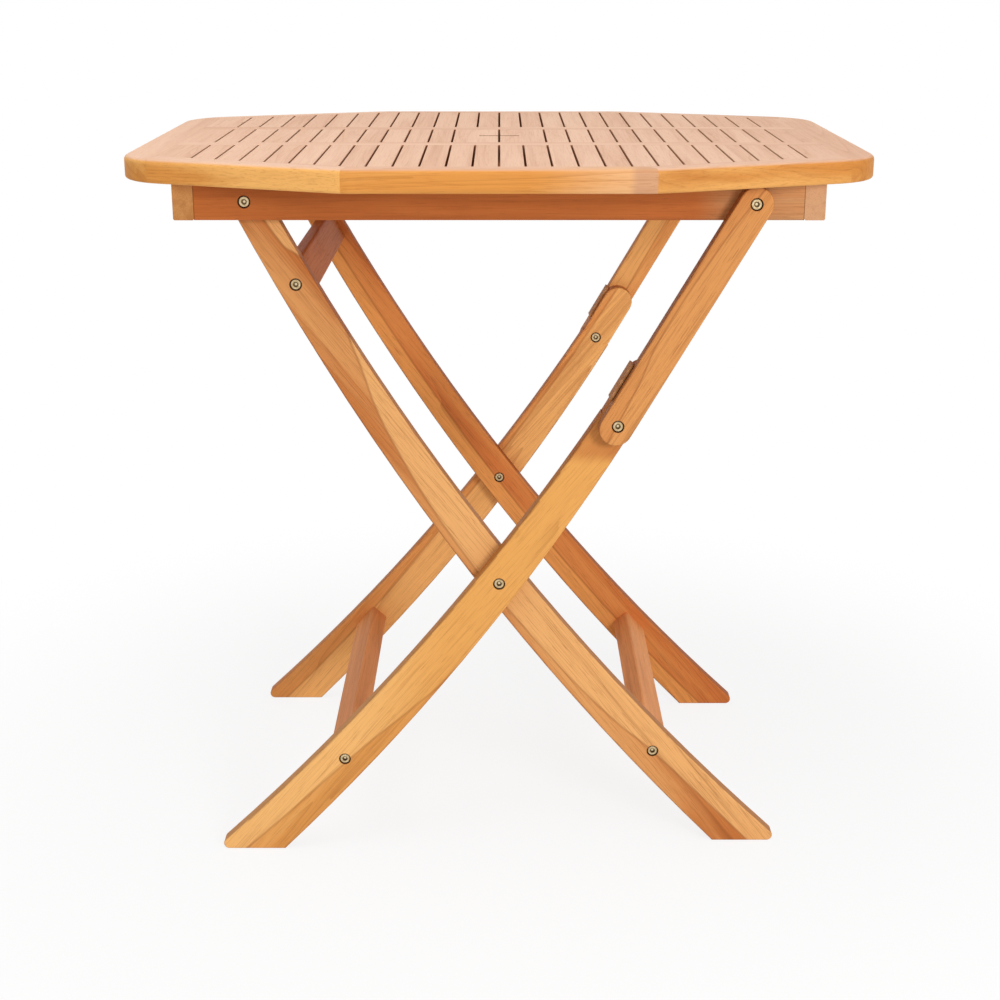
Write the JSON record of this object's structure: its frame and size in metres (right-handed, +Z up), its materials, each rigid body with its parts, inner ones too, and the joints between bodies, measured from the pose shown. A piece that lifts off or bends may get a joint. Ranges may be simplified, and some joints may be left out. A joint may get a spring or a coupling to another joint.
{
  "type": "folding patio dining table",
  "caption": "Folding slatted wooden patio dining table with an octagonal top on an apron frame, crossing curved legs and a knee-jointed leg pair that folds up under the top.",
  "frame": {"origin": "on the floor under the middle of the table", "axes": "+Z up, +X to the right and +Y away from the viewer in the picture"},
  "size_m": [0.748, 0.606, 0.758],
  "materials": {
    "rail_wood": "oiled, satin",
    "side_rail_wood": "oiled, satin",
    "corner_rail_wood": "oiled, satin",
    "slat_wood": "oiled, satin",
    "apron_wood": "oiled, satin",
    "inner_leg_wood": "oiled, satin",
    "outer_leg_wood": "oiled, satin",
    "upper_leg_wood": "oiled, satin",
    "bar_wood": "oiled, satin",
    "plate_steel": "dull zinc plated",
    "bolt_steel": "yellow zinc plated"
  },
  "bodies": {
    "tabletop": {"rail_front": "rail_wood", "rail_back": "rail_wood", "rail_left": "side_rail_wood", "rail_right": "side_rail_wood", "rail_front_left": "corner_rail_wood", "rail_front_right": "corner_rail_wood", "rail_back_left": "corner_rail_wood", "rail_back_right": "corner_rail_wood", "slats_front": "slat_wood", "slats_middle": "slat_wood", "slats_back": "slat_wood", "cross_rail_front": "slat_wood", "cross_rail_back": "slat_wood", "apron_front": "apron_wood", "apron_back": "apron_wood", "apron_left": "apron_wood", "apron_right": "apron_wood", "apron_bolt_front": "bolt_steel", "apron_bolt_back": "bolt_steel"},
    "inner_frame": {"inner_leg_front": "inner_leg_wood", "inner_leg_back": "inner_leg_wood", "inner_foot_bar": "bar_wood", "inner_tie_bar": "bar_wood", "inner_bar_bolt_front": "bolt_steel", "inner_bar_bolt_back": "bolt_steel", "tie_bar_bolt_front": "bolt_steel", "tie_bar_bolt_back": "bolt_steel", "cross_nut_front": "bolt_steel", "cross_nut_back": "bolt_steel"},
    "upper_front": {"upper_leg_front": "upper_leg_wood", "upper_bolt_front": "bolt_steel", "knee_bolt_front": "bolt_steel"},
    "upper_back": {"upper_leg_back": "upper_leg_wood", "upper_bolt_back": "bolt_steel", "knee_bolt_back": "bolt_steel"},
    "outer_frame": {"outer_leg_front": "outer_leg_wood", "outer_leg_back": "outer_leg_wood", "outer_foot_bar": "bar_wood", "outer_bar_bolt_front": "bolt_steel", "outer_bar_bolt_back": "bolt_steel", "cross_bolt_front": "bolt_steel", "cross_bolt_back": "bolt_steel", "stop_plate_front": "plate_steel", "stop_plate_back": "plate_steel"}
  },
  "joints": [
    {"name": "inner_fold", "type": "hinge", "parent": "tabletop", "child": "inner_frame", "pos_m": [-0.251, 0, 0.715], "axis": [0, -1, 0], "range_deg": [0, 44]},
    {"name": "upper_fold_front", "type": "hinge", "parent": "tabletop", "child": "upper_front", "pos_m": [0.251, 0, 0.715], "axis": [0, 1, 0], "range_deg": [0, 45.5]},
    {"name": "upper_fold_back", "type": "hinge", "parent": "tabletop", "child": "upper_back", "pos_m": [0.251, 0, 0.715], "axis": [0, 1, 0], "range_deg": [0, 45.5]},
    {"name": "outer_fold", "type": "hinge", "parent": "upper_front", "child": "outer_frame", "pos_m": [0.1205, 0, 0.491], "axis": [0, -1, 0], "range_deg": [0, 156.4]}
  ],
  "couplings": [
    {"joint": "upper_fold_front", "follows": "inner_fold", "ratio": 1.0322},
    {"joint": "upper_fold_back", "follows": "inner_fold", "ratio": 1.0322},
    {"joint": "outer_fold", "follows": "inner_fold", "ratio": 3.5503}
  ]
}
